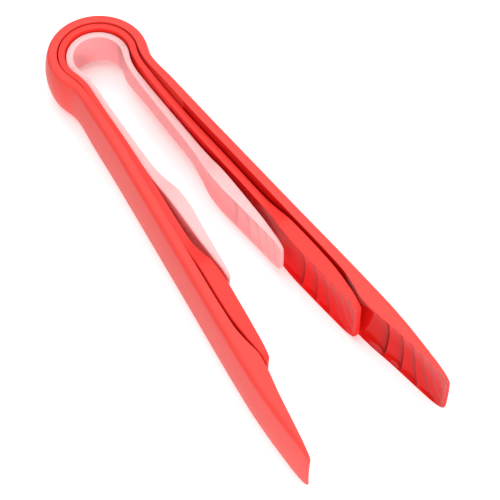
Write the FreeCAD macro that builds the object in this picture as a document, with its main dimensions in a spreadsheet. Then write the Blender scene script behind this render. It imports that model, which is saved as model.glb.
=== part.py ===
import FreeCAD, Part
import os
import Sketcher

# Three one-piece plastic spring tongs nested inside each other.  Every tong is a round bow and two arms
# that flex where they leave the bow.  Axes while building: the bow's centre is the origin, +X runs to
# the tips, +Y is the right arm's side and Z is the width of the band.

NODE_FOLDER = "parts"
TONGS = ("large", "middle", "small")
STATIONS = ("neck", "bend", "flare", "dip", "palm", "pad", "tip")
CUP_STATIONS = ("flare", "dip", "palm", "pad")

# Sizes of each bow and band, in mm: the bow's radii at the band's side edges, the bulge of its outer face
# and half of its width, how far it wraps past a half circle at each end (degrees), the bulge of the arms'
# outer face, and the rim left around the cup.
BAND = {
    "large": {
        "bow_inner": 17.8, "bow_outer": 21.8, "bow_crown": 1.7, "bow_half": 10.5, "wrap": 28,
        "arm_crown": 1.1, "rim": 1.7,
    },
    "middle": {
        "bow_inner": 14.4, "bow_outer": 17.3, "bow_crown": 0.2, "bow_half": 9.9, "wrap": 31,
        "arm_crown": 0.2, "rim": 1.5,
    },
    "small": {
        "bow_inner": 10.9, "bow_outer": 13.9, "bow_crown": 0.15, "bow_half": 8.1, "wrap": 36,
        "arm_crown": 0.45, "rim": 1.3,
    },
}

# Arm sections in mm: distance from the bow's centre, inner face, outer side edge and half width.
ARM = {
    "large": {
        "neck": (12.5, 15.3, 19.1, 10.8),
        "bend": (46, 16.6, 21.0, 13.2),
        "flare": (156, 25.8, 30.9, 13.2),
        "dip": (169, 24.1, 32.3, 13.2),
        "palm": (190, 27.6, 33.4, 13.2),
        "pad": (213.8, 31.0, 33.2, 13.2),
        "tip": (218, 31.6, 32.6, 10.2),
    },
    "middle": {
        "neck": (12.5, 12.1, 14.8, 9.4),
        "bend": (46, 13.1, 16.1, 8.3),
        "flare": (106, 17.0, 20.8, 8.3),
        "dip": (122, 15.8, 22.1, 12.1),
        "palm": (150, 18.2, 24.2, 12.1),
        "pad": (168, 20.1, 23.2, 12.1),
        "tip": (172, 20.5, 22.6, 9.3),
    },
    "small": {
        "neck": (12.5, 8.5, 11.25, 6.4),
        "bend": (40, 8.95, 12.1, 4.95),
        "flare": (64, 9.3, 12.9, 4.95),
        "dip": (82, 7.7, 13.4, 8.2),
        "palm": (98, 9.2, 13.8, 8.8),
        "pad": (125.8, 11.7, 13.95, 8.8),
        "tip": (129.5, 12.1, 13.5, 6.6),
    },
}

# Depth of the cup in the gripping face at each of its sections, in mm.
CUP = {
    "large": {"flare": 0.4, "dip": 4.0, "palm": 3.8, "pad": 1.1},
    "middle": {"flare": 0.4, "dip": 2.7, "palm": 2.6, "pad": 0.9},
    "small": {"flare": 0.4, "dip": 2.4, "palm": 2.2, "pad": 0.9},
}

# Single sizes in mm: the slit between bow and arm, the overhang of the cup's cutter past the gripping
# face, how far the cutter goes straight in before it curves, the half width that the large arms' side
# edges are finished flat to, and the block that finishes them.
SINGLE = {
    "slit": 0.3, "cutter_overhang": 1.5, "cutter_lip": 0.1,
    "flat_half": 13.0, "block_tall": 5, "block_wide": 60,
}


def fill_sheet(doc):
    """Put every driving dimension in the spreadsheet under a readable alias."""
    sheet = doc.addObject("Spreadsheet::Sheet", "Dimensions")
    values = dict(SINGLE)
    for tong in TONGS:
        for key, value in BAND[tong].items():
            values[f"{tong}_{key}"] = value
        for station, (along, inner, outer, half) in ARM[tong].items():
            values[f"{tong}_{station}_along"] = along
            values[f"{tong}_{station}_inner"] = inner
            values[f"{tong}_{station}_outer"] = outer
            values[f"{tong}_{station}_half"] = half
        for station, depth in CUP[tong].items():
            values[f"{tong}_{station}_depth"] = depth
    for row, (alias, value) in enumerate(values.items(), start=1):
        sheet.set(f"A{row}", alias.replace("_", " "))
        sheet.set(f"B{row}", str(value))
        sheet.setAlias(f"B{row}", alias)
    doc.recompute()
    return sheet


def origin_item(body, role):
    """One of the body's own origin planes or axes."""
    return next(item for item in body.Origin.OriginFeatures if item.Role == role)


def band_section(body, name, inner, outer, half, crown):
    """Sketch of the band's cross-section: flat inner face, straight side edges, bulged outer face.

    The four sizes are expressions over the spreadsheet's aliases.
    """
    sketch = body.newObject("Sketcher::SketchObject", name)
    sketch.AttachmentSupport = [(origin_item(body, "YZ_Plane"), "")]
    sketch.MapMode = "FlatFace"
    bulge = f"(({half})^2 + ({crown})^2) / (2 * ({crown}))"
    near, far, tall, rise, radius = (float(sketch.evalExpression(size))
                                     for size in (inner, outer, half, crown, bulge))
    low_in, high_in = FreeCAD.Vector(near, -tall, 0), FreeCAD.Vector(near, tall, 0)
    low_out, high_out = FreeCAD.Vector(far, -tall, 0), FreeCAD.Vector(far, tall, 0)
    outer_arc = Part.Arc(low_out, FreeCAD.Vector(far + rise, 0, 0), high_out)
    sketch.addGeometry(Part.LineSegment(low_in, high_in), False)
    sketch.addGeometry(Part.LineSegment(high_in, high_out), False)
    sketch.addGeometry(Part.LineSegment(low_in, low_out), False)
    sketch.addGeometry(outer_arc, False)
    sketch.addConstraint([
        Sketcher.Constraint("Coincident", 0, 2, 1, 1),
        Sketcher.Constraint("Coincident", 0, 1, 2, 1),
        Sketcher.Constraint("Coincident", 1, 2, 3, 2),
        Sketcher.Constraint("Coincident", 2, 2, 3, 1),
        Sketcher.Constraint("Vertical", 0),
        Sketcher.Constraint("Horizontal", 1),
        Sketcher.Constraint("Horizontal", 2),
        Sketcher.Constraint("Vertical", 3, 1, 3, 2),
        Sketcher.Constraint("PointOnObject", 3, 3, -1),
    ])
    sizes = (
        ("inner", Sketcher.Constraint("DistanceX", -1, 1, 0, 1, near), inner),
        ("outer", Sketcher.Constraint("DistanceX", -1, 1, 1, 2, far), outer),
        ("half", Sketcher.Constraint("DistanceY", -1, 1, 0, 2, tall), half),
        ("bulge", Sketcher.Constraint("Radius", 3, radius), bulge),
    )
    for label, constraint, expression in sizes:
        index = sketch.addConstraint(constraint)
        sketch.renameConstraint(index, label)
        sketch.setExpression(f"Constraints.{label}", expression)
    return sketch


def alias(tong, *words):
    return "Dimensions." + "_".join((tong,) + words)


def bow_section(body, tong, name):
    return band_section(body, name, alias(tong, "bow_inner"), alias(tong, "bow_outer"),
                        alias(tong, "bow_half"), alias(tong, "bow_crown"))


def arm_section(body, tong, station, name):
    """The band's section at one station along the arm."""
    sketch = band_section(body, name, alias(tong, station, "inner"), alias(tong, station, "outer"),
                          alias(tong, station, "half"), alias(tong, "arm_crown"))
    sketch.setExpression("AttachmentOffset.Base.z", alias(tong, station, "along"))
    return sketch


def place(body):
    """Centre the set along X and stand it on the large tong's lower edges."""
    body.setExpression("Placement.Base.x", "-(Dimensions.large_tip_along - Dimensions.large_bow_outer"
                       " - Dimensions.large_bow_crown) / 2")
    body.setExpression("Placement.Base.z", "Dimensions.flat_half")


def make_bow(doc, tong):
    """The round bow with a short neck at each end, up to the line where the arms flex."""
    label = f"{tong}_bow"
    body = doc.addObject("PartDesign::Body", label)
    body.Label = label

    profile = bow_section(body, tong, f"{tong}_bow_profile")
    upright = FreeCAD.Rotation(FreeCAD.Vector(0, 1, 0), 90)
    profile.AttachmentOffset = FreeCAD.Placement(FreeCAD.Vector(), upright)
    ring = body.newObject("PartDesign::Revolution", f"{tong}_bow_ring")
    ring.Profile = profile
    ring.ReferenceAxis = (origin_item(body, "Z_Axis"), [""])
    ring.Midplane = True
    ring.setExpression("Angle", f"180 + 2 * {alias(tong, 'wrap')}")
    doc.recompute()
    ring_volume = ring.Shape.Volume

    wrapped = bow_section(body, tong, f"{tong}_wrap_section")
    turned = FreeCAD.Rotation(FreeCAD.Vector(0, -1, 0), 1)
    wrapped.AttachmentOffset = FreeCAD.Placement(FreeCAD.Vector(), turned)
    wrapped.setExpression("AttachmentOffset.Rotation.Angle", alias(tong, "wrap"))
    neck_end = arm_section(body, tong, "neck", f"{tong}_neck_section")
    neck = body.newObject("PartDesign::AdditiveLoft", f"{tong}_neck")
    neck.Profile = wrapped
    neck.Sections = [neck_end]
    neck.Ruled = True
    doc.recompute()

    both = body.newObject("PartDesign::Mirrored", f"{tong}_both_necks")
    both.Originals = [neck]
    both.MirrorPlane = (origin_item(body, "XZ_Plane"), [""])
    body.Tip = both
    place(body)
    doc.recompute()
    print(label, "ring", round(ring_volume), "with necks", round(body.Shape.Volume), "mm3")
    return body


def make_right_arm(doc, tong):
    """One arm: a band that widens, flares in at the gripping end and is cupped there."""
    label = f"{tong}_right_arm"
    body = doc.addObject("PartDesign::Body", label)
    body.Label = label

    sections = [arm_section(body, tong, station, f"{tong}_arm_{station}") for station in STATIONS]
    sections[0].setExpression("AttachmentOffset.Base.z", f"{alias(tong, 'neck_along')} + Dimensions.slit")
    band = body.newObject("PartDesign::AdditiveLoft", f"{tong}_arm_band")
    band.Profile = sections[0]
    band.Sections = sections[1:]
    band.Ruled = True
    doc.recompute()
    solid_volume = band.Shape.Volume

    cutters = []
    for station in CUP_STATIONS:
        inner = alias(tong, station, "inner")
        cutter = band_section(body, f"{tong}_cup_{station}",
                              f"{inner} - Dimensions.cutter_overhang",
                              f"{inner} + Dimensions.cutter_lip",
                              f"{alias(tong, station, 'half')} - {alias(tong, 'rim')}",
                              f"{alias(tong, station, 'depth')} - Dimensions.cutter_lip")
        cutter.setExpression("AttachmentOffset.Base.z", alias(tong, station, "along"))
        cutters.append(cutter)
    cup = body.newObject("PartDesign::SubtractiveLoft", f"{tong}_cup")
    cup.Profile = cutters[0]
    cup.Sections = cutters[1:]
    cup.Ruled = True
    body.Tip = cup
    place(body)
    doc.recompute()
    print(label, "solid", round(solid_volume), "cupped", round(body.Shape.Volume), "mm3")
    return body


def make_left_arm(doc, tong, right_arm):
    """The mirror image of the right arm."""
    label = f"{tong}_left_arm"
    arm = doc.addObject("Part::Mirroring", label)
    arm.Label = label
    arm.Source = right_arm
    arm.Base = FreeCAD.Vector(0, 0, 0)
    arm.Normal = FreeCAD.Vector(0, 1, 0)
    arm.Placement = FreeCAD.Placement()
    doc.recompute()
    return arm


def finish_edges_flat(doc, body, tong):
    """Cut both side edges of the band to one flat plane each, which the set of tongs lies on."""
    sketch = body.newObject("Sketcher::SketchObject", f"{tong}_edge_blocks")
    sketch.AttachmentSupport = [(origin_item(body, "YZ_Plane"), "")]
    sketch.MapMode = "FlatFace"
    flat, tall, wide = (float(sketch.evalExpression(f"Dimensions.{name}"))
                        for name in ("flat_half", "block_tall", "block_wide"))
    for block, up in enumerate((1, -1)):
        outline = ((0, flat), (wide, flat), (wide, flat + tall), (0, flat + tall))
        corners = [FreeCAD.Vector(y, up * z, 0) for y, z in outline]
        first = 4 * block
        for side in range(4):
            sketch.addGeometry(Part.LineSegment(corners[side], corners[(side + 1) % 4]), False)
        for side in range(4):
            following = first + (side + 1) % 4
            sketch.addConstraint(Sketcher.Constraint("Coincident", first + side, 2, following, 1))
        for side in (0, 2):
            sketch.addConstraint(Sketcher.Constraint("Horizontal", first + side))
        for side in (1, 3):
            sketch.addConstraint(Sketcher.Constraint("Vertical", first + side))
        sketch.addConstraint(Sketcher.Constraint("PointOnObject", first, 1, -2))
        sizes = (
            ("flat", Sketcher.Constraint("DistanceY", -1, 1, first, 1, up * flat),
             f"{up} * Dimensions.flat_half"),
            ("tall", Sketcher.Constraint("DistanceY", first + 1, 1, first + 1, 2, up * tall),
             f"{up} * Dimensions.block_tall"),
            ("wide", Sketcher.Constraint("DistanceX", first, 1, first, 2, wide),
             "Dimensions.block_wide"),
        )
        for word, constraint, expression in sizes:
            label = f"{word}_{block}"
            sketch.renameConstraint(sketch.addConstraint(constraint), label)
            sketch.setExpression(f"Constraints.{label}", expression)
    before = body.Shape.Volume
    trim = body.newObject("PartDesign::Pocket", f"{tong}_flat_edges")
    trim.Profile = sketch
    trim.Type = "ThroughAll"
    trim.Midplane = True
    body.Tip = trim
    doc.recompute()
    print(body.Label, "edges finished, removed", round(before - body.Shape.Volume), "mm3")


def check_states(doc):
    for item in doc.Objects:
        if "Invalid" in item.State or "Error" in item.State:
            raise RuntimeError(f"{item.Name} did not compute: {item.State}")


def export(subparts):
    os.makedirs(NODE_FOLDER, exist_ok=True)
    for subpart in subparts:
        if subpart.Shape.isNull() or not subpart.Shape.isValid():
            raise RuntimeError(f"{subpart.Label} has no valid shape")
        subpart.Shape.exportStep(os.path.join(NODE_FOLDER, f"{subpart.Label}.step"))


def main():
    doc = FreeCAD.newDocument("nested_tongs")
    fill_sheet(doc)
    subparts = []
    for tong in TONGS:
        bow = make_bow(doc, tong)
        right_arm = make_right_arm(doc, tong)
        if tong == "large":
            finish_edges_flat(doc, right_arm, tong)
        left_arm = make_left_arm(doc, tong, right_arm)
        subparts += [bow, left_arm, right_arm]
    doc.recompute()
    check_states(doc)
    export(subparts)


main()
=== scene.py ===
"""Looks for the nested spring tongs: three moulded bands with fluted gripping ends, and the studio."""
import math

import bpy
import numpy as np
from mathutils import Matrix, Vector


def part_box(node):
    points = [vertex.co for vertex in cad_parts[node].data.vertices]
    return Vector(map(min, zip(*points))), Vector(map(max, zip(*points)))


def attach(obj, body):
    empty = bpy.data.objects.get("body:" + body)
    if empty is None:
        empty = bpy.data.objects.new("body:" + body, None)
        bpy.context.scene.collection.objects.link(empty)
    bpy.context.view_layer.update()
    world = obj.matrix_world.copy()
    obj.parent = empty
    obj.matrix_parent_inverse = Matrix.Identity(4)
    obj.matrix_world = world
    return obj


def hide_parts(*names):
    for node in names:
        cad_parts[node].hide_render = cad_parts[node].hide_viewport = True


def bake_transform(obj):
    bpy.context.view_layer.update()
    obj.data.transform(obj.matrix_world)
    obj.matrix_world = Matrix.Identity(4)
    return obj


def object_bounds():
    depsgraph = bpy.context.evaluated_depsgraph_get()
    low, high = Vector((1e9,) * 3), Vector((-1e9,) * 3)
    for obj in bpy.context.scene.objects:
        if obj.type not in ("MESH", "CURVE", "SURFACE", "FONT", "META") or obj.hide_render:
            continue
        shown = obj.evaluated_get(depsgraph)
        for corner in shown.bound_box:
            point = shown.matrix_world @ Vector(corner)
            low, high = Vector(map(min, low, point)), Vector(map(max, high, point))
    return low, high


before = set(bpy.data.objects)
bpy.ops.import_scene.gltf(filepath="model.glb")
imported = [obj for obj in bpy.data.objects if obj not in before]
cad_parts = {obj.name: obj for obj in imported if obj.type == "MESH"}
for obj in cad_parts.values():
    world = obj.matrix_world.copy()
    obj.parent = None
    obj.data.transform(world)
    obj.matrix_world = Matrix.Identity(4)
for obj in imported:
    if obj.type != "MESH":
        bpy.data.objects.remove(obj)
cad_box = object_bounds()

MM = 0.001
TONGS = ("large", "middle", "small")
SIDES = {"left": -1, "right": 1}

# Outlines of one arm of each tongs, in mm from the bow's centre.  A curve is a list of (distance, value).
#   inner, outer: the gripping face and the crest of the outside face, from the tongs' middle line
#   half: half of the band's width;  cup: depth of the hollow in the gripping face
#   bulge: crown of the outside face;  roll: radius where the outside face turns into the side edge
#   inner_roll: the same at the gripping face;  bow_wall: the wall at the bow
#   corner_long, corner_tall: the rounded corners of the tip, along and across the band
#   neck_inner, neck_outer: degrees past the bow's widest point where each face leaves the circle
#   ridges, ridge_start, flute_depth: number, start and depth of the flutes
#   polished_from: where the polish of the gripping face starts
SHAPES = {
    "large": {
        "inner": ((22, 15.65), (46, 16.7), (80, 19.6), (120, 23.1), (143, 25.1), (154, 25.7), (162, 25.0),
                  (169, 24.1), (176, 24.9), (188, 27.2), (204, 29.8), (212, 31.1), (218, 31.9)),
        "outer": ((22, 20.7), (46, 22.2), (80, 25.2), (120, 28.9), (150, 31.8), (166, 33.2), (180, 34.2),
                  (192, 34.5), (206, 34.3), (218, 33.5)),
        "half": ((-22, 10.4), (5, 10.5), (17, 11.1), (34, 12.5), (50, 13.0), (204, 13.0)),
        "cup": ((140, 0.0), (152, 0.5), (164, 3.0), (173, 4.6), (190, 3.6), (204, 2.0), (214, 0.7),
                (218, 0.2)),
        "bulge": ((-24, 1.75), (6, 1.7), (30, 1.1)),
        "roll": ((-24, 1.6), (6, 1.7), (30, 2.2), (160, 2.6)),
        "bow_wall": 5.7, "inner_roll": 0.3,
        "corner_long": 10.5, "corner_tall": 4.4, "neck_inner": 17, "neck_outer": 21,
        "ridges": 7, "ridge_start": 167.0, "flute_depth": 2.0, "polished_from": 45.0,
    },
    "middle": {
        "inner": ((22, 12.3), (46, 13.1), (76, 15.0), (98, 16.7), (108, 17.2), (115, 16.8), (122, 16.0),
                  (129, 16.1), (146, 17.6), (160, 19.2), (172, 20.7)),
        "outer": ((22, 15.3), (46, 16.4), (80, 19.05), (96, 20.2), (112, 21.6), (126, 22.9), (140, 24.1),
                  (150, 24.6), (160, 24.3), (172, 23.2)),
        "half": ((-18, 9.8), (5, 9.8), (17, 9.1), (32, 8.35), (104, 8.3), (112, 9.6), (122, 11.8),
                 (130, 12.1), (160, 12.1)),
        "cup": ((98, 0.0), (106, 0.4), (116, 2.3), (124, 3.2), (140, 2.8), (156, 1.7), (168, 0.6),
                (172, 0.2)),
        "bulge": ((-18, 0.15), (30, 0.2)), "roll": ((-18, 0.4), (12, 0.4), (110, 0.5), (130, 0.9)),
        "bow_wall": 3.1, "inner_roll": 0.25,
        "corner_long": 8.0, "corner_tall": 3.8, "neck_inner": 17, "neck_outer": 20,
        "ridges": 7, "ridge_start": 122.0, "flute_depth": 1.5, "polished_from": 40.0,
    },
    "small": {
        "inner": ((22, 8.7), (40, 9.0), (58, 9.3), (65, 9.15), (73, 8.4), (82, 7.5), (90, 7.75), (101, 9.0),
                  (113, 10.4), (122, 11.4), (129.5, 12.1)),
        "outer": ((22, 11.9), (40, 12.6), (62, 13.4), (82, 13.9), (98, 14.2), (112, 14.4), (129.5, 13.9)),
        "half": ((-14, 8.1), (5, 7.6), (17, 5.7), (27, 5.0), (62, 4.95), (71, 5.7), (82, 7.9), (90, 8.5),
                 (120, 8.8)),
        "cup": ((60, 0.0), (66, 0.2), (76, 1.6), (86, 2.6), (98, 2.1), (112, 1.2), (125, 0.5), (129.5, 0.2)),
        "bulge": ((-14, 0.12), (30, 0.3)), "roll": ((-14, 0.35), (60, 0.5), (90, 0.9)),
        "bow_wall": 3.15, "inner_roll": 0.25,
        "corner_long": 6.5, "corner_tall": 3.2, "neck_inner": 18, "neck_outer": 24,
        "ridges": 6, "ridge_start": 84.0, "flute_depth": 0.6, "polished_from": 76.0,
    },
}

# How finely the bands are meshed: points round the outline, rows along the band, and steps along it in mm.
FACE_COLUMNS = 56
EDGE_STEPS = 4
ROLL_STEPS = 8
OUTER_COLUMNS = 30
BOW_ROWS = 44
NECK_ROWS = 14
NOSE_ROWS = 14
ARM_STEP = 1.6
GRIP_STEP = 0.28

# The fine rows start this far before the first ridge and stop this far before the tip, in mm.
GRIP_LEAD = 8
NOSE_LENGTH = 3.0
# How nearly the two faces meet at the tip, where 1 is a knife edge.
NOSE_DRAW = 0.9
# The wall below which the inner roll shrinks with it, in mm, then the most that the roll, the crown and the
# hollow take of the wall, and the roll of the half width.
FULL_WALL = 3.2
ROLL_SHARE, BULGE_SHARE, CUP_SHARE, ROLL_OF_HALF = 0.62, 0.35, 0.6, 0.45
# Where the painted edge light on a side edge starts, in rolls inside the edge, and how many rolls it takes to
# be full.
EDGE_START, EDGE_FADE = 0.8, 0.6

# Where a bow's piece ends and its arms' pieces start, as a part of the way from the bow's middle to a neck.
SEAM_PART = 0.8
# How far a flute's lower end runs towards the tip, in half widths, at the first flute and at the tip.  The
# half width is read this many rows before the tip.
SWEEP_FIRST, SWEEP_TIP, SWEEP_ROW = 0.23, 1.3, 60


def smooth_curve(points):
    """A function through the points with continuous slope and no overshoot."""
    xs = np.array([p[0] for p in points], float)
    ys = np.array([p[1] for p in points], float)
    steps = np.diff(xs)
    slopes = np.diff(ys) / steps
    tangents = np.zeros_like(ys)
    tangents[0], tangents[-1] = slopes[0], slopes[-1]
    for i in range(1, len(xs) - 1):
        if slopes[i - 1] * slopes[i] > 0:
            before, after = 2 * steps[i] + steps[i - 1], steps[i] + 2 * steps[i - 1]
            tangents[i] = (before + after) / (before / slopes[i - 1] + after / slopes[i])

    def value(x):
        x = np.clip(np.asarray(x, float), xs[0], xs[-1])
        i = np.clip(np.searchsorted(xs, x) - 1, 0, len(steps) - 1)
        t = (x - xs[i]) / steps[i]
        return ((2 * t**3 - 3 * t**2 + 1) * ys[i] + (t**3 - 2 * t**2 + t) * steps[i] * tangents[i]
                + (3 * t**2 - 2 * t**3) * ys[i + 1] + (t**3 - t**2) * steps[i] * tangents[i + 1])

    return value


def bezier(a, a_dir, b, b_dir, count, reach=0.38):
    """Points of a cubic curve that leaves a along a_dir and arrives at b along b_dir."""
    a, b, a_dir, b_dir = (np.array(v, float) for v in (a, b, a_dir, b_dir))
    span = np.linalg.norm(b - a)
    p1 = a + a_dir / np.linalg.norm(a_dir) * span * reach
    p2 = b - b_dir / np.linalg.norm(b_dir) * span * reach
    t = np.linspace(0, 1, count)[:, None]
    return (1 - t)**3 * a + 3 * (1 - t)**2 * t * p1 + 3 * (1 - t) * t**2 * p2 + t**3 * b


class Band:
    """One arm's half of a moulded band: matched plan points of its inner and outer faces, from the middle of
    the bow to the tip, with the width and hollow at each."""

    def __init__(self, tong):
        shape = SHAPES[tong]
        self.shape = shape
        low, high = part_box(f"{tong}_bow")
        self.radius = (high.y - low.y) / 2 / MM
        self.centre_x = low.x / MM + self.radius
        self.centre_z = (low.z + high.z) / 2 / MM
        self.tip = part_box(f"{tong}_right_arm")[1].x / MM - self.centre_x
        inner_at, outer_at = smooth_curve(shape["inner"]), smooth_curve(shape["outer"])
        curves = (smooth_curve(shape[key]) for key in ("half", "cup", "bulge", "roll"))
        half_at, cup_at, bulge_at, roll_at = curves
        bow = self.bow_points(shape["bow_wall"])
        necks = self.neck_points(inner_at, outer_at)
        along = self.arm_stations()
        inner = np.vstack([bow[0], necks[0][1:], np.column_stack([along, inner_at(along)])[1:]])
        outer = np.vstack([bow[1], necks[1][1:], np.column_stack([along, outer_at(along)])[1:]])
        middle = (inner[:, 0] + outer[:, 0]) / 2
        self.inner, self.outer = inner, outer
        self.half = half_at(middle)
        corner = np.clip((middle - (self.tip - shape["corner_long"])) / shape["corner_long"], 0, 1)
        self.half = self.half - shape["corner_tall"] * (1 - np.sqrt(np.maximum(0.0, 1 - corner**2)))
        self.round_nose(middle)
        self.cup, self.bulge, self.roll = cup_at(middle), bulge_at(middle), roll_at(middle)

    def round_nose(self, middle):
        """Draw the two faces together over the last of the band, so that the tip has a rounded edge."""
        wall = np.linalg.norm(self.outer - self.inner, axis=1)
        reach = wall[-1] / 2
        t = np.clip((middle - (self.tip - reach)) / reach, 0, 1)
        draw = (NOSE_DRAW * (1 - np.sqrt(np.maximum(0.0, 1 - t**2))) * wall / 2)[:, None]
        direction = (self.outer - self.inner) / wall[:, None]
        self.inner = self.inner + direction * draw
        self.outer = self.outer - direction * draw
        self.half = self.half - draw[:, 0]

    def bow_points(self, wall):
        """The round part, from its middle to where each face leaves the circle."""
        rings = []
        for radius, key in ((self.radius - wall, "neck_inner"), (self.radius, "neck_outer")):
            angle = np.radians(np.linspace(0, 90 + self.shape[key], BOW_ROWS))
            rings.append(np.column_stack([-radius * np.cos(angle), radius * np.sin(angle)]))
        return rings

    def neck_points(self, inner_at, outer_at):
        """The reverse curve between the round part and the arm."""
        start = self.shape["inner"][0][0]
        curves = []
        for face, past, radius in ((inner_at, self.shape["neck_inner"], self.radius - self.shape["bow_wall"]),
                                   (outer_at, self.shape["neck_outer"], self.radius)):
            turn = math.radians(past)
            leave = (radius * math.sin(turn), radius * math.cos(turn))
            slope = float(face(start + 1) - face(start))
            leave_direction = (math.cos(turn), -math.sin(turn))
            arrive = (start, float(face(start)))
            curves.append(bezier(leave, leave_direction, arrive, (1, slope), NECK_ROWS))
        return curves

    def arm_stations(self):
        """Distances along the arm: even down the band, close together over the ridges and at the tip."""
        start, grip = self.shape["inner"][0][0], self.shape["ridge_start"] - GRIP_LEAD
        coarse = np.linspace(start, grip, int((grip - start) / ARM_STEP))
        last = self.tip - NOSE_LENGTH
        fine = np.linspace(grip, last, int((last - grip) / GRIP_STEP))
        end = self.tip - NOSE_LENGTH * (1 - np.sin(np.linspace(0, math.pi / 2, NOSE_ROWS)))
        return np.concatenate([coarse, fine[1:], end[1:]])

    def section(self, row, side):
        """The closed outline of the band at one row: its points, and for each whether it is on the gripping
        face, its place across that face and how far it is onto a side edge."""
        wall = np.linalg.norm(self.outer[row] - self.inner[row])
        half = self.half[row]
        inner_roll = self.shape["inner_roll"] * min(1.0, wall / FULL_WALL)
        roll = min(self.roll[row], ROLL_SHARE * (wall - inner_roll), ROLL_OF_HALF * half)
        bulge = min(self.bulge[row], BULGE_SHARE * wall)
        cup = min(self.cup[row], CUP_SHARE * wall)
        face_z = np.linspace(-1, 1, FACE_COLUMNS) * (half - inner_roll)
        face_n = cup * (1 - (face_z / (half - inner_roll))**2)
        lean = math.atan(2 * bulge / half)
        edge_z = half - roll * (1 - math.sin(lean))
        edge_n = wall - bulge * (edge_z / half)**2
        turn_n = edge_n - roll * math.cos(lean)
        small = np.linspace(math.pi, math.pi / 2, EDGE_STEPS + 1)[1:]
        top_in = np.column_stack([inner_roll * (1 + np.cos(small)),
                                  half - inner_roll + inner_roll * np.sin(small)])
        big = np.linspace(math.pi / 2, lean, ROLL_STEPS + 1)
        top_out = np.column_stack([turn_n + roll * np.cos(big), half - roll + roll * np.sin(big)])
        crest_z = np.linspace(edge_z, -edge_z, OUTER_COLUMNS + 1)[1:-1]
        crest = np.column_stack([wall - bulge * (crest_z / half)**2, crest_z])
        upper = np.vstack([top_in, top_out])
        lower = upper[::-1] * (1, -1)
        outline = np.vstack([np.column_stack([face_n, face_z]), upper, crest, lower])
        across = np.zeros(len(outline))
        across[:FACE_COLUMNS] = face_z / (half - inner_roll)
        weight = np.zeros(len(outline))
        weight[:FACE_COLUMNS] = 1
        # This side-edge mask places the painted light: the paler edge colour on the side edges and their
        # rounding.
        past = np.abs(outline[:, 1]) - half + EDGE_START * roll
        edge = np.clip(past / (EDGE_FADE * roll), 0, 1) * (1 - weight)
        direction = (self.outer[row] - self.inner[row]) / wall
        plan = self.inner[row] + outline[:, :1] * direction
        points = np.column_stack([plan[:, 0] + self.centre_x, side * plan[:, 1],
                                  outline[:, 1] + self.centre_z])
        return points, weight, across, edge

    def skin(self, name, stops):
        """Closed mesh of the band through a run of (row, side) stops, capped at both ends."""
        outlines = [self.section(row, side) for row, side in stops]
        count, rounds = len(outlines[0][0]), len(stops)
        verts = np.vstack([outline[0] for outline in outlines]) * MM
        faces = []
        for r in range(rounds - 1):
            for c in range(count):
                after = (c + 1) % count
                faces.append((r * count + c, r * count + after, (r + 1) * count + after, (r + 1) * count + c))
        walls = len(faces)
        faces += end_cap(0, count, False) + end_cap((rounds - 1) * count, count, True)
        if inside_out(verts, faces):
            faces = [face[::-1] for face in faces]
        mesh = bpy.data.meshes.new(name)
        mesh.from_pydata(verts.tolist(), [], faces)
        mesh.polygons.foreach_set("use_smooth", [True] * walls + [False] * (len(faces) - walls))
        rims = {r * count + c for r in (0, rounds - 1) for c in range(count)}
        sharp = [edge.vertices[0] in rims and edge.vertices[1] in rims for edge in mesh.edges]
        put_attribute(mesh, "sharp_edge", sharp, "BOOLEAN", "EDGE")
        for index, label in enumerate(("gripping_face", "across", "side_edge"), start=1):
            put_attribute(mesh, label, np.concatenate([outline[index] for outline in outlines]))
        put_attribute(mesh, "along", np.repeat([max(0.0, self.inner[row][0]) for row, _ in stops], count))
        obj = bpy.data.objects.new(name, mesh)
        bpy.context.scene.collection.objects.link(obj)
        return obj


def end_cap(first, count, flip):
    """Triangles that close one end, as strips between the inner face's points and the rest of the outline."""
    front = [first + i for i in range(FACE_COLUMNS)]
    back = [first + i for i in range(FACE_COLUMNS, count)][::-1]
    faces, i, j = [], 0, 0
    while i < len(front) - 1 or j < len(back) - 1:
        if j == len(back) - 1 or (i < len(front) - 1 and i * (len(back) - 1) <= j * (len(front) - 1)):
            faces.append((front[i], front[i + 1], back[j]))
            i += 1
        else:
            faces.append((front[i], back[j + 1], back[j]))
            j += 1
    return [face[::-1] for face in faces] if flip else faces


def inside_out(verts, faces):
    """True when the faces enclose a negative volume."""
    corners = np.array([(face[0], face[k], face[k + 1]) for face in faces for k in range(1, len(face) - 1)])
    a, b, c = (verts[corners[:, k]] for k in range(3))
    return float(np.einsum("ij,ij->", a, np.cross(b, c))) < 0


def put_attribute(mesh, name, values, kind="FLOAT", domain="POINT"):
    layer = mesh.attributes.new(name, kind, domain)
    layer.data.foreach_set("value", np.asarray(values, bool if kind == "BOOLEAN" else np.float32))


# ---- gripping flutes ----

def math_node(tree, operation, first, second=None, clamp=False):
    """One Math node; each operand is a number or another node's output."""
    node = tree.nodes.new("ShaderNodeMath")
    node.operation = operation
    node.use_clamp = clamp
    for index, operand in enumerate((first, second)):
        if operand is None:
            continue
        if isinstance(operand, (int, float)):
            node.inputs[index].default_value = operand
        else:
            tree.links.new(operand, node.inputs[index])
    return node.outputs[0]


FLUTE_INPUTS = (
    ("First ridge", "NodeSocketFloat"), ("Tip", "NodeSocketFloat"), ("Ridges", "NodeSocketFloat"),
    ("Depth", "NodeSocketFloat"), ("Sweep at first", "NodeSocketFloat"), ("Sweep at tip", "NodeSocketFloat"),
    ("Polished from", "NodeSocketFloat"),
    ("Plastic", "NodeSocketMaterial"), ("Polished plastic", "NodeSocketMaterial"),
)


# The flutes' form, as powers: the hook of a flute's lower end, the growth of its sweep towards the tip, how
# the flutes crowd there, the gentle and the steep side of one flute, and the spread of the painted shade on
# its steep side.
HOOK_POWER, SWEEP_POWER, CROWDING, FALL_POWER, CLIMB_POWER, PAINTED_SHADE_POWER = 2.2, 3.0, 1.5, 2.2, 8.0, 3.0
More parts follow.
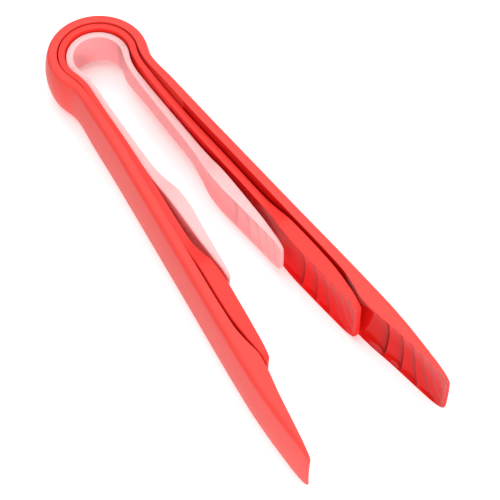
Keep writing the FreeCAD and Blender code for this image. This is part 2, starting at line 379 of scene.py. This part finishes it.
# The flutes are full depth one eighth of the half width in from the rim, and NOSE_PLAIN + 1 / NOSE_RISE mm
# short of the tip, with none in the last NOSE_PLAIN mm.  TIP_LOSS is the part of the depth lost by the tip.
RIM_RISE, NOSE_RISE, NOSE_PLAIN, TIP_LOSS = 8.0, 0.5, 1.0, 0.7


def flute_tree():
    """Geometry Nodes that hollow curved flutes across a gripping face.  The ridges left between them are
    sharp and fan out towards the tip.  The tree also stores painted shade for each flute's steep side, and
    sets both finishes.

    Lengths along the band are in mm; the depth is in metres."""
    tree = bpy.data.node_groups.new("grip_flutes", "GeometryNodeTree")
    tree.interface.new_socket("Geometry", in_out="INPUT", socket_type="NodeSocketGeometry")
    for label, kind in FLUTE_INPUTS:
        tree.interface.new_socket(label, in_out="INPUT", socket_type=kind)
    tree.interface.new_socket("Geometry", in_out="OUTPUT", socket_type="NodeSocketGeometry")
    sizes = tree.nodes.new("NodeGroupInput").outputs

    def attribute(name):
        node = tree.nodes.new("GeometryNodeInputNamedAttribute")
        node.data_type = "FLOAT"
        node.inputs["Name"].default_value = name
        return node.outputs["Attribute"]

    along, across, face = attribute("along"), attribute("across"), attribute("gripping_face")
    length = math_node(tree, "SUBTRACT", sizes["Tip"], sizes["First ridge"])
    place = math_node(tree, "DIVIDE", math_node(tree, "SUBTRACT", along, sizes["First ridge"]), length)
    tipward = math_node(tree, "MAXIMUM", place, 0.0)
    lower = math_node(tree, "MULTIPLY", math_node(tree, "SUBTRACT", 1.0, across), 0.5)
    hook = math_node(tree, "POWER", lower, HOOK_POWER)
    extra = math_node(tree, "SUBTRACT", sizes["Sweep at tip"], sizes["Sweep at first"])
    sweep = math_node(tree, "ADD", sizes["Sweep at first"],
                      math_node(tree, "MULTIPLY", extra, math_node(tree, "POWER", tipward, SWEEP_POWER)))
    shift = math_node(tree, "DIVIDE", math_node(tree, "MULTIPLY", sweep, hook), length)
    swept = math_node(tree, "MAXIMUM", math_node(tree, "SUBTRACT", place, shift), 0.0)
    phase = math_node(tree, "MULTIPLY", math_node(tree, "POWER", swept, CROWDING), sizes["Ridges"])
    part = math_node(tree, "FRACT", phase)
    falling = math_node(tree, "POWER", math_node(tree, "SUBTRACT", 1.0, part), FALL_POWER)
    climbing = math_node(tree, "POWER", part, CLIMB_POWER)
    hollow = math_node(tree, "SUBTRACT", 1.0, math_node(tree, "ADD", falling, climbing))
    inside_rim = math_node(tree, "SUBTRACT", 1.0, math_node(tree, "ABSOLUTE", across))
    rim = math_node(tree, "MULTIPLY", inside_rim, RIM_RISE, clamp=True)
    started = math_node(tree, "MULTIPLY", math_node(tree, "GREATER_THAN", swept, 0.0), face)
    to_nose = math_node(tree, "SUBTRACT", math_node(tree, "SUBTRACT", sizes["Tip"], NOSE_PLAIN), along)
    nose = math_node(tree, "MULTIPLY", to_nose, NOSE_RISE, clamp=True)
    mask = math_node(tree, "MULTIPLY", math_node(tree, "MULTIPLY", rim, started), nose)
    lost = math_node(tree, "MULTIPLY", math_node(tree, "POWER", tipward, 2.0), TIP_LOSS)
    depth = math_node(tree, "MULTIPLY", sizes["Depth"], math_node(tree, "SUBTRACT", 1.0, lost))
    sink = math_node(tree, "MULTIPLY", math_node(tree, "MULTIPLY", hollow, mask),
                     math_node(tree, "MULTIPLY", depth, -1.0))

    normal = tree.nodes.new("GeometryNodeInputNormal")
    push = tree.nodes.new("ShaderNodeVectorMath")
    push.operation = "SCALE"
    tree.links.new(normal.outputs[0], push.inputs[0])
    tree.links.new(sink, push.inputs["Scale"])
    move = tree.nodes.new("GeometryNodeSetPosition")
    tree.links.new(sizes["Geometry"], move.inputs["Geometry"])
    tree.links.new(push.outputs[0], move.inputs["Offset"])
    # Painted shade: the steep side of each flute, just before its ridge, is stored as an attribute that the
    # plastics darken.
    shade = tree.nodes.new("GeometryNodeStoreNamedAttribute")
    shade.data_type = "FLOAT"
    shade.inputs["Name"].default_value = "painted_flute_shade"
    tree.links.new(move.outputs[0], shade.inputs["Geometry"])
    painted_shade = math_node(tree, "MULTIPLY", math_node(tree, "POWER", part, PAINTED_SHADE_POWER), mask)
    tree.links.new(painted_shade, shade.inputs["Value"])
    paint = tree.nodes.new("GeometryNodeSetMaterial")
    tree.links.new(shade.outputs[0], paint.inputs["Geometry"])
    tree.links.new(sizes["Plastic"], paint.inputs["Material"])
    polish = tree.nodes.new("GeometryNodeSetMaterial")
    tree.links.new(paint.outputs[0], polish.inputs["Geometry"])
    gripping = math_node(tree, "GREATER_THAN", along, sizes["Polished from"])
    polished = math_node(tree, "GREATER_THAN", math_node(tree, "MULTIPLY", face, gripping), 0.9)
    tree.links.new(polished, polish.inputs["Selection"])
    tree.links.new(sizes["Polished plastic"], polish.inputs["Material"])
    realize = tree.nodes.new("GeometryNodeRealizeInstances")
    tree.links.new(polish.outputs[0], realize.inputs[0])
    tree.links.new(realize.outputs[0], tree.nodes.new("NodeGroupOutput").inputs[0])
    return tree


def carve_flutes(obj, tree, sizes):
    """Run the flute tree on an arm and keep the result as the arm's plain mesh."""
    ids = {item.name: item.identifier for item in tree.interface.items_tree if item.in_out == "INPUT"}
    modifier = obj.modifiers.new("flutes", "NODES")
    modifier.node_group = tree
    for label, value in sizes.items():
        modifier[ids[label]] = value
    bpy.context.view_layer.update()
    depsgraph = bpy.context.evaluated_depsgraph_get()
    mesh = bpy.data.meshes.new_from_object(obj.evaluated_get(depsgraph), preserve_all_data_layers=True,
                                           depsgraph=depsgraph)
    obj.modifiers.remove(modifier)
    obj.data = mesh


# ---- plastics ----

# Size of the flow streaks, the cloudy patches and the surface grain, as noise scales, and the grain's depth.
STREAK_SCALE, CLOUD_SCALE, GRAIN_SCALE = (18, 120, 120), 35, 2600
GRAIN_DEPTH = 0.00006
# How much of the painted edge light the side edges take, and how much colour is left in a flute's painted
# shade.
EDGE_LIGHT_SHARE, FLUTE_PAINTED_SHADE = 0.9, 0.45
# Where the mottling starts to show, its contrast, and how far the roughness varies along the streaks.
MOTTLE_START, MOTTLE_CONTRAST, ROUGHNESS_SPREAD = 0.3, 1.1, 0.10
# The plastic's refraction, and how far each colour of light spreads below its surface, in metres.
PLASTIC_IOR, SCATTER_RADIUS, SCATTER_SCALE = 1.49, (1.0, 0.45, 0.4), 0.006


def moulded_plastic(name, colour, deep, edge, gloss, roughness, grain, scatter=0.0, painted_flute_shade=0.0):
    """Pigmented moulded plastic with faint flow streaks along the band and a fine surface grain.  The side
    edges take a paler edge colour as painted light, and each flute's steep side is darkened as painted shade."""
    material = bpy.data.materials.new(name)
    material.use_nodes = True
    tree = material.node_tree
    shader = tree.nodes["Principled BSDF"]
    link = tree.links.new
    shader.inputs["Subsurface Weight"].default_value = scatter
    shader.inputs["Subsurface Radius"].default_value = SCATTER_RADIUS
    shader.inputs["Subsurface Scale"].default_value = SCATTER_SCALE
    shader.inputs["IOR"].default_value = PLASTIC_IOR
    shader.inputs["Specular IOR Level"].default_value = gloss

    where = tree.nodes.new("ShaderNodeTexCoord").outputs["Object"]
    stretch = tree.nodes.new("ShaderNodeMapping")
    stretch.inputs["Scale"].default_value = STREAK_SCALE
    link(where, stretch.inputs["Vector"])

    def noise(scale, detail, vector):
        node = tree.nodes.new("ShaderNodeTexNoise")
        node.inputs["Scale"].default_value = scale
        node.inputs["Detail"].default_value = detail
        link(vector, node.inputs["Vector"])
        return node.outputs["Fac"]

    def mix(factor, first, second):
        node = tree.nodes.new("ShaderNodeMix")
        node.data_type = "RGBA"
        link(factor, node.inputs["Factor"])
        for socket, shade in (("A", first), ("B", second)):
            if isinstance(shade, tuple):
                node.inputs[socket].default_value = (*shade, 1)
            else:
                link(shade, node.inputs[socket])
        return node.outputs["Result"]

    streaks = noise(1.0, 3, stretch.outputs[0])
    clouds = noise(CLOUD_SCALE, 2, where)
    mottle = math_node(tree, "MULTIPLY", math_node(tree, "ADD", streaks, clouds), 0.5)
    patches = math_node(tree, "SUBTRACT", mottle, MOTTLE_START)
    depth = math_node(tree, "MULTIPLY", patches, MOTTLE_CONTRAST, clamp=True)
    # Painted light: the side edges are mixed towards the paler edge colour, for the lit top edges and the
    # sheen on their rounding.
    side_edge = tree.nodes.new("ShaderNodeAttribute")
    side_edge.attribute_name = "side_edge"
    edge_light = math_node(tree, "MULTIPLY", side_edge.outputs["Fac"], EDGE_LIGHT_SHARE)
    # Painted shade: where the flute attribute is set, the colour is mixed towards a dark copy of the deep
    # colour.
    flute = tree.nodes.new("ShaderNodeAttribute")
    flute.attribute_name = "painted_flute_shade"
    painted_shade_share = math_node(tree, "MULTIPLY", flute.outputs["Fac"], painted_flute_shade)
    body = mix(painted_shade_share, mix(depth, colour, deep), tuple(FLUTE_PAINTED_SHADE * channel for channel in deep))
    link(mix(edge_light, body, edge), shader.inputs["Base Color"])
    varied = math_node(tree, "MULTIPLY", streaks, ROUGHNESS_SPREAD)
    link(math_node(tree, "ADD", varied, roughness - ROUGHNESS_SPREAD / 2), shader.inputs["Roughness"])

    bump = tree.nodes.new("ShaderNodeBump")
    bump.inputs["Strength"].default_value = grain
    bump.inputs["Distance"].default_value = GRAIN_DEPTH
    link(noise(GRAIN_SCALE, 2, where), bump.inputs["Height"])
    link(bump.outputs["Normal"], shader.inputs["Normal"])
    return material


def coral_plastics():
    # The edge colour is paler than the body: painted light on the side edges.
    edge = (0.85, 0.062, 0.050)
    satin = moulded_plastic("coral_satin", (0.80, 0.050, 0.038), (0.74, 0.040, 0.030), edge,
                            gloss=0.25, roughness=0.42, grain=0.55)
    polished = moulded_plastic("coral_polished", (0.64, 0.009, 0.007), (0.54, 0.005, 0.004), edge,
                               gloss=0.25, roughness=0.12, grain=0.08, painted_flute_shade=0.9)
    return satin, polished


def red_plastics():
    # The edge colour is paler than the body: painted light on the side edges.
    edge = (0.90, 0.046, 0.037)
    satin = moulded_plastic("red_satin", (0.86, 0.024, 0.018), (0.80, 0.016, 0.012), edge,
                            gloss=0.2, roughness=0.34, grain=0.5)
    polished = moulded_plastic("red_polished", (0.74, 0.008, 0.007), (0.64, 0.004, 0.004), edge,
                               gloss=0.12, roughness=0.24, grain=0.08, painted_flute_shade=0.8)
    return satin, polished


def pink_plastics():
    # The edge colour is paler than the body: painted light on the side edges.
    edge = (0.96, 0.52, 0.52)
    satin = moulded_plastic("pink_satin", (0.94, 0.40, 0.41), (0.90, 0.34, 0.36), edge,
                            gloss=0.3, roughness=0.38, grain=0.5, scatter=0.6)
    polished = moulded_plastic("pink_polished", (0.94, 0.40, 0.41), (0.90, 0.34, 0.36), edge,
                               gloss=0.3, roughness=0.24, grain=0.1, scatter=0.6, painted_flute_shade=0.22)
    return satin, polished


# ---- assembly ----

# Each set of tongs: its materials' maker and the record's slot for it.
PLASTICS = {
    "large": (coral_plastics, "coral_plastic"),
    "middle": (red_plastics, "red_plastic"),
    "small": (pink_plastics, "pink_plastic"),
}


def make_tongs(tong, tree):
    band = Band(tong)
    make_plastics, slot = PLASTICS[tong]
    satin, polished = make_plastics()
    seam = int(BOW_ROWS * SEAM_PART)
    bow_stops = [(row, 1) for row in range(seam, 0, -1)] + [(row, -1) for row in range(seam + 1)]
    bow = band.skin(f"{tong}_tongs_bow", bow_stops)
    bow.data.materials.append(satin)
    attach(bow, f"{tong}_bow")
    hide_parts(f"{tong}_bow")
    last = len(band.inner)
    half_width = band.half[-SWEEP_ROW]
    for word, side in SIDES.items():
        arm = band.skin(f"{tong}_tongs_{word}_arm", [(row, side) for row in range(seam, last)])
        carve_flutes(arm, tree, {
            "First ridge": band.shape["ridge_start"], "Tip": band.tip, "Ridges": float(band.shape["ridges"]),
            "Depth": band.shape["flute_depth"] * MM, "Sweep at first": half_width * SWEEP_FIRST,
            "Sweep at tip": half_width * SWEEP_TIP, "Polished from": band.shape["polished_from"],
            "Plastic": satin, "Polished plastic": polished})
        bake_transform(arm)
        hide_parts(f"{tong}_{word}_arm")


# ---- studio ----

FLOOR_HALF, FLOOR_GAP = 4.0, 0.0002
FLOOR_WHITE, FLOOR_ROUGHNESS, FLOOR_GLOW = 0.97, 0.6, 0.26
WORLD_STRENGTH = 0.30
# Each softbox: its name, place, target and size in metres, and its power in watts.
SOFTBOXES = (
    ("overhead_softbox", (-0.2, 0.1, 0.85), (0, 0, 0), (1.2, 1.2), 9.0),
    ("tip_end_softbox", (0.85, -0.3, 0.3), (0.05, 0, 0), (0.25, 0.25), 5.5),
    ("back_softbox", (0.2, 0.8, 0.5), (0.05, 0, 0), (0.9, 0.25), 2.2),
)
# The camera: degrees round from +X, above the floor and of roll; mm from what it looks at; and that point in
# mm from the bow's centre.
AZIMUTH, ELEVATION, ROLL = -33.26, 55.2, 1.04
DISTANCE, AIM = 779.2, (118.3, 4.1)
LENS, SENSOR = 135.9, 36


def make_floor():
    """A large pale table top that the tongs lie on, faintly lit from within so that it stays white."""
    low = cad_box[0][2] - FLOOR_GAP
    corners = [(x * FLOOR_HALF, y * FLOOR_HALF, low) for x, y in ((-1, -1), (1, -1), (1, 1), (-1, 1))]
    mesh = bpy.data.meshes.new("table_top")
    mesh.from_pydata(corners, [], [(0, 1, 2, 3)])
    table = bpy.data.objects.new("table_top", mesh)
    bpy.context.scene.collection.objects.link(table)
    white = bpy.data.materials.new("table_white")
    white.use_nodes = True
    shader = white.node_tree.nodes["Principled BSDF"]
    shader.inputs["Base Color"].default_value = (FLOOR_WHITE, FLOOR_WHITE, FLOOR_WHITE, 1)
    shader.inputs["Roughness"].default_value = FLOOR_ROUGHNESS
    shader.inputs["Emission Color"].default_value = (1, 1, 1, 1)
    shader.inputs["Emission Strength"].default_value = FLOOR_GLOW
    mesh.materials.append(white)


def soft_light(name, place, target, size, watts):
    data = bpy.data.lights.new(name, "AREA")
    data.shape = "RECTANGLE"
    data.size, data.size_y = size
    data.energy = watts
    lamp = bpy.data.objects.new(name, data)
    lamp.location = place
    lamp.rotation_euler = (Vector(target) - Vector(place)).to_track_quat("-Z", "Y").to_euler()
    bpy.context.scene.collection.objects.link(lamp)


def make_lights():
    world = bpy.data.worlds.new("studio")
    world.use_nodes = True
    backdrop = world.node_tree.nodes["Background"]
    backdrop.inputs["Color"].default_value = (1, 1, 1, 1)
    backdrop.inputs["Strength"].default_value = WORLD_STRENGTH
    bpy.context.scene.world = world
    for softbox in SOFTBOXES:
        soft_light(*softbox)


def make_camera():
    """Looks down on the set from its tip end, on the left arms' side."""
    azimuth, elevation, roll = (math.radians(angle) for angle in (AZIMUTH, ELEVATION, ROLL))
    back = Vector((math.cos(azimuth) * math.cos(elevation), math.sin(azimuth) * math.cos(elevation),
                   math.sin(elevation)))
    right = (-back).cross(Vector((0, 0, 1))).normalized()
    up = right.cross(-back)
    across = math.cos(roll) * right + math.sin(roll) * up
    upright = -math.sin(roll) * right + math.cos(roll) * up
    low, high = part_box("large_bow")
    bow = Vector((low.x + (high.y - low.y) / 2, 0, (low.z + high.z) / 2))
    place = bow + (Vector((*AIM, 0)) + DISTANCE * back) * MM
    data = bpy.data.cameras.new("camera")
    data.lens = LENS
    data.sensor_width = SENSOR
    camera = bpy.data.objects.new("camera", data)
    turn = Matrix((across, upright, back)).transposed().to_4x4()
    camera.matrix_world = Matrix.Translation(place) @ turn
    bpy.context.scene.collection.objects.link(camera)
    bpy.context.scene.camera = camera


def main():
    tree = flute_tree()
    for tong in TONGS:
        make_tongs(tong, tree)
    make_floor()
    make_lights()
    make_camera()
    bpy.context.scene.view_settings.view_transform = "Standard"


main()
